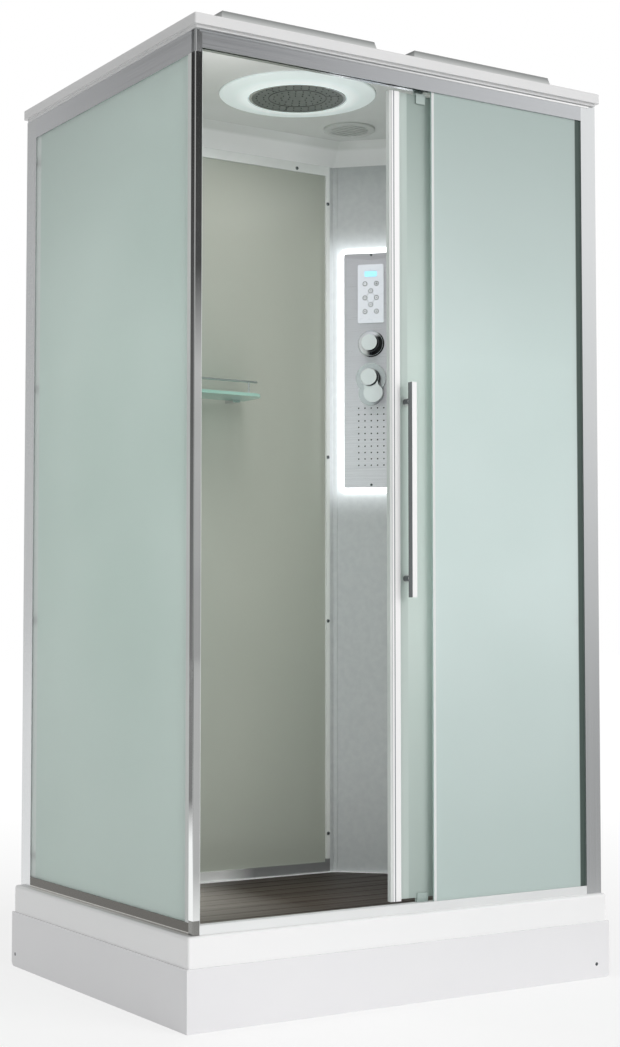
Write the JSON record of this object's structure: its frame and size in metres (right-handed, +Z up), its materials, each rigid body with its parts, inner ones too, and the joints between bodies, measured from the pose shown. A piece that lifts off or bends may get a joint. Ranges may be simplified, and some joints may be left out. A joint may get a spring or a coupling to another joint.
{
  "type": "steam shower cabin",
  "caption": "Rectangular steam shower cabin: deep tray with slatted floor, sliding glass door, frosted panes, lit corner column with keypad and mixer, and a roof with a rain head.",
  "frame": {"origin": "centre of the cabin's plan on the floor, under the feet", "axes": "+X to the right along the front, +Y to the back wall, +Z up; the front face is at -Y"},
  "size_m": [1.15, 0.9, 2.227],
  "materials": {
    "acrylic": "polished",
    "apron": "smooth",
    "waste_plastic": "moulded",
    "galvanised": "galvanised",
    "feet": "zinc plated",
    "deck": "oiled slats",
    "chrome": "polished",
    "satin_chrome": "satin",
    "profile": "satin anodised",
    "frosted_glass": "etched",
    "tinted_glass": "back painted",
    "clear_glass": "polished",
    "seal": "translucent",
    "column": "satin",
    "diffuser": "opal",
    "nozzle_plate": "perforated",
    "pipe": "polished",
    "fan_plastic": "moulded",
    "stainless": "brushed",
    "keypad": "satin film",
    "brass": "cast",
    "wheel": "turned",
    "guide_plastic": "moulded"
  },
  "bodies": {
    "cabin": {"tray": "acrylic", "roof": "acrylic", "front_apron": "apron", "left_apron": "apron", "waste_trap": "waste_plastic", "base_frame": "galvanised", "levelling_feet": "feet", "corner_post": "chrome", "right_front_post": "profile", "left_rear_post": "profile", "front_header": "profile", "side_header": "profile", "corner_brackets": "profile", "front_sill": "profile", "side_sill": "profile", "fixed_glass": "frosted_glass", "side_glass": "frosted_glass", "glazing_seals": "seal", "glass_clips": "chrome", "back_glass": "tinted_glass", "back_frame": "chrome", "right_glass": "tinted_glass", "right_frame": "chrome", "column_panel": "column", "lamp_pan": "acrylic", "lamp_diffuser": "diffuser", "rain_head": "chrome", "rain_face": "nozzle_plate", "rain_pipe": "pipe", "fan_housing": "fan_plastic", "light_guide": "diffuser", "faceplate": "stainless", "keypad_case": "keypad", "valve_collars": "satin_chrome", "valve_block": "brass", "steam_generator": "stainless", "steam_outlet": "chrome", "shelf_glass": "clear_glass", "shelf_fittings": "chrome"},
    "deck": {"floor_deck": "deck"},
    "door": {"door_glass": "frosted_glass", "door_stile": "chrome", "door_seals": "seal", "door_handle": "chrome", "roller_carriers": "chrome", "door_guides": "guide_plastic"},
    "left_wheel": {"roller_wheel_left": "wheel"},
    "right_wheel": {"roller_wheel_right": "wheel"},
    "diverter": {"diverter_knob": "satin_chrome"},
    "mixer_swivel": {"mixer_dome": "chrome"},
    "mixer_lever": {"mixer_handle": "satin_chrome"},
    "fan": {"fan_rotor": "fan_plastic"},
    "button_power": {"key_power": "keypad"},
    "button_light": {"key_light": "keypad"},
    "button_up": {"key_up": "keypad"},
    "button_down": {"key_down": "keypad"},
    "button_left": {"key_left": "keypad"},
    "button_right": {"key_right": "keypad"},
    "button_fan": {"key_fan": "keypad"},
    "button_steam": {"key_steam": "keypad"}
  },
  "joints": [
    {"name": "door_slide", "type": "slide", "parent": "cabin", "child": "door", "axis": [-1, 0, 0], "range_m": [0, 0.486]},
    {"name": "left_wheel_roll", "type": "hinge", "parent": "door", "child": "left_wheel", "pos_m": [0.049, -0.4185, 2.0852], "axis": [0, -1, 0], "range_deg": [0, 2540]},
    {"name": "right_wheel_roll", "type": "hinge", "parent": "door", "child": "right_wheel", "pos_m": [0.5, -0.4185, 2.0852], "axis": [0, -1, 0], "range_deg": [0, 2540]},
    {"name": "deck_lift", "type": "slide", "parent": "cabin", "child": "deck", "axis": [0, 0, 1], "range_m": [0, 0.06]},
    {"name": "diverter_turn", "type": "hinge", "parent": "cabin", "child": "diverter", "pos_m": [0.42941, 0.33341, 1.61], "axis": [-0.7071, -0.7071, 0], "range_deg": [-90, 90]},
    {"name": "mixer_turn", "type": "hinge", "parent": "cabin", "child": "mixer_swivel", "pos_m": [0.42941, 0.33341, 1.514], "axis": [-0.7071, -0.7071, 0], "range_deg": [-59, 31]},
    {"name": "mixer_lift", "type": "hinge", "parent": "mixer_swivel", "child": "mixer_lever", "pos_m": [0.41244, 0.31644, 1.514], "axis": [-0.6861, 0.6861, -0.2419], "range_deg": [0, 20]},
    {"name": "fan_spin", "type": "hinge", "parent": "cabin", "child": "fan", "pos_m": [0.266, 0.203, 2.18], "axis": [0, 0, 1], "continuous": true},
    {"name": "press_power", "type": "slide", "parent": "cabin", "child": "button_power", "axis": [0.7071, 0.7071, 0], "range_m": [0, 0.0007], "stiffness_N_per_m": 400},
    {"name": "press_light", "type": "slide", "parent": "cabin", "child": "button_light", "axis": [0.7071, 0.7071, 0], "range_m": [0, 0.0007], "stiffness_N_per_m": 400},
    {"name": "press_up", "type": "slide", "parent": "cabin", "child": "button_up", "axis": [0.7071, 0.7071, 0], "range_m": [0, 0.0007], "stiffness_N_per_m": 400},
    {"name": "press_down", "type": "slide", "parent": "cabin", "child": "button_down", "axis": [0.7071, 0.7071, 0], "range_m": [0, 0.0007], "stiffness_N_per_m": 400},
    {"name": "press_left", "type": "slide", "parent": "cabin", "child": "button_left", "axis": [0.7071, 0.7071, 0], "range_m": [0, 0.0007], "stiffness_N_per_m": 400},
    {"name": "press_right", "type": "slide", "parent": "cabin", "child": "button_right", "axis": [0.7071, 0.7071, 0], "range_m": [0, 0.0007], "stiffness_N_per_m": 400},
    {"name": "press_fan", "type": "slide", "parent": "cabin", "child": "button_fan", "axis": [0.7071, 0.7071, 0], "range_m": [0, 0.0007], "stiffness_N_per_m": 400},
    {"name": "press_steam", "type": "slide", "parent": "cabin", "child": "button_steam", "axis": [0.7071, 0.7071, 0], "range_m": [0, 0.0007], "stiffness_N_per_m": 400}
  ],
  "couplings": [
    {"joint": "left_wheel_roll", "follows": "door_slide", "rad_per_m": 90.909},
    {"joint": "right_wheel_roll", "follows": "door_slide", "rad_per_m": 90.909}
  ]
}
